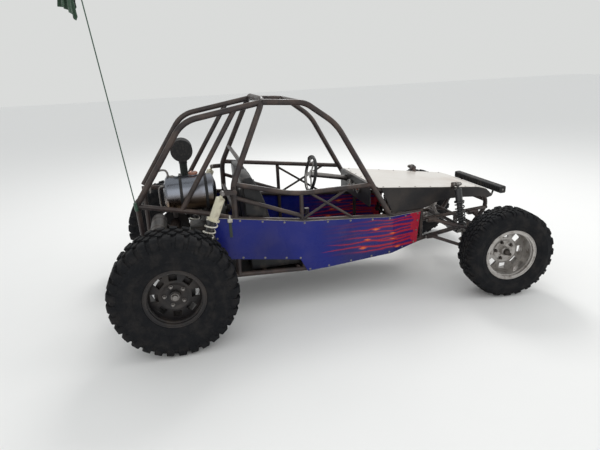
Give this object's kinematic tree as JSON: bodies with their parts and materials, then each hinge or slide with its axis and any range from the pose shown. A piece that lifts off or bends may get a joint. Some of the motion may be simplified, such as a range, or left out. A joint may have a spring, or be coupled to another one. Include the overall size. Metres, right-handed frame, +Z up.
{
  "type": "dune buggy",
  "caption": "Open two-seat dune buggy with a bent-tube cage, side sheets, mid-mounted flat engine, big rear tyres, steered front wheels and a whip flag.",
  "frame": {"origin": "on the ground, on the car's middle plane, midway between the rearmost and the foremost tread of its tyres", "axes": "+X forward, +Y to the car's left, +Z up"},
  "size_m": [3.4527, 1.8992, 2.7439],
  "materials": {
    "frame_paint": "dusty dark brown-grey paint, worn",
    "blue_paint": "deep blue paint with common flame pattern",
    "pale_paint": "off-white gloss paint, dusty",
    "black_paint": "black paint",
    "steel": "bare and plated steel",
    "silver_wheel": "silver painted steel",
    "alloy": "polished and cast alloy",
    "cast": "dark cast metal",
    "rubber_tyre": "dusty black rubber",
    "seat_fabric": "dark seat cover",
    "black_plastic": "black plastic",
    "flag_cloth": "orange-red cloth",
    "green_rod": "dark green glass fibre"
  },
  "bodies": {
    "chassis": {"lower_frame": "frame_paint", "main_hoop": "frame_paint", "rear_cage": "frame_paint", "front_cage": "frame_paint", "cage_bars": "frame_paint", "side_rails": "frame_paint", "nose_frame": "frame_paint", "floor_pan": "black_paint", "side_panel_left": "blue_paint", "side_panel_right": "blue_paint", "hood": "pale_paint", "nose_sides": "black_paint", "dash": "black_paint", "light_bar": "black_plastic", "seat_left": "seat_fabric", "seat_right": "seat_fabric", "steering_column": "black_paint", "pedals": "steel", "gear_lever": "steel", "grab_loop": "frame_paint", "engine_block": "cast", "engine_cylinders": "alloy", "intake": "alloy", "air_filter": "black_plastic", "exhaust": "steel", "transaxle": "cast", "fuel_tank": "alloy", "trailing_arms": "black_paint", "rear_shocks": "alloy", "front_arms": "black_paint", "front_shocks": "black_paint", "suspension_mounts": "frame_paint", "rack_housing": "alloy", "whip": "green_rod", "flag": "flag_cloth", "tow_eyes": "frame_paint"},
    "wheel_rear_left": {"rim_rear_left": "black_paint", "tyre_rear_left": "rubber_tyre", "half_shaft_left": "steel"},
    "wheel_rear_right": {"rim_rear_right": "black_paint", "tyre_rear_right": "rubber_tyre", "half_shaft_right": "steel"},
    "knuckle_left": {"knuckle_left": "black_paint"},
    "wheel_front_left": {"rim_front_left": "silver_wheel", "tyre_front_left": "rubber_tyre"},
    "tie_rod_left": {"tie_rod_left": "steel"},
    "knuckle_right": {"knuckle_right": "black_paint"},
    "wheel_front_right": {"rim_front_right": "silver_wheel", "tyre_front_right": "rubber_tyre"},
    "tie_rod_right": {"tie_rod_right": "steel"},
    "steering_rack": {"steering_rack": "steel"},
    "steering_wheel": {"steering_wheel": "black_plastic"}
  },
  "joints": [
    {"name": "wheel_rear_left_spin", "type": "hinge", "parent": "chassis", "child": "wheel_rear_left", "pos_m": [-1.2785, 0.784, 0.438], "axis": [0, 1, 0], "continuous": true},
    {"name": "wheel_rear_right_spin", "type": "hinge", "parent": "chassis", "child": "wheel_rear_right", "pos_m": [-1.2785, -0.784, 0.438], "axis": [0, 1, 0], "continuous": true},
    {"name": "steering_wheel_turn", "type": "hinge", "parent": "chassis", "child": "steering_wheel", "pos_m": [-0.0085, 0.22, 0.935], "axis": [-0.9806, 0, 0.1961], "range_deg": [-189, 351]},
    {"name": "knuckle_left_steer", "type": "hinge", "parent": "chassis", "child": "knuckle_left", "pos_m": [1.3525, 0.7, 0.364], "axis": [0, 0, 1], "range_deg": [-17.51, 32.51]},
    {"name": "wheel_front_left_spin", "type": "hinge", "parent": "knuckle_left", "child": "wheel_front_left", "pos_m": [1.3525, 0.7, 0.364], "axis": [0.1305, 0.9914, 0], "continuous": true},
    {"name": "tie_rod_left_swivel", "type": "hinge", "parent": "knuckle_left", "child": "tie_rod_left", "pos_m": [1.24344, 0.71436, 0.386], "axis": [0, 0, 1], "range_deg": [-32.51, 17.51]},
    {"name": "knuckle_right_steer", "type": "hinge", "parent": "chassis", "child": "knuckle_right", "pos_m": [1.3525, -0.7, 0.364], "axis": [0, 0, 1], "range_deg": [-17.51, 32.51]},
    {"name": "wheel_front_right_spin", "type": "hinge", "parent": "knuckle_right", "child": "wheel_front_right", "pos_m": [1.3525, -0.7, 0.364], "axis": [0.1305, 0.9914, 0], "continuous": true},
    {"name": "tie_rod_right_swivel", "type": "hinge", "parent": "knuckle_right", "child": "tie_rod_right", "pos_m": [1.24344, -0.68564, 0.386], "axis": [0, 0, 1], "range_deg": [-32.51, 17.51]},
    {"name": "steering_rack_slide", "type": "slide", "parent": "chassis", "child": "steering_rack", "axis": [0, 1, 0], "range_m": [-0.0625, 0.0337]}
  ],
  "couplings": [
    {"joint": "knuckle_left_steer", "follows": "steering_wheel_turn", "ratio": 0.092593},
    {"joint": "knuckle_right_steer", "follows": "steering_wheel_turn", "ratio": 0.092593},
    {"joint": "tie_rod_left_swivel", "follows": "steering_wheel_turn", "ratio": -0.092593},
    {"joint": "tie_rod_right_swivel", "follows": "steering_wheel_turn", "ratio": -0.092593},
    {"joint": "steering_rack_slide", "follows": "steering_wheel_turn", "m_per_rad": -0.010185}
  ]
}
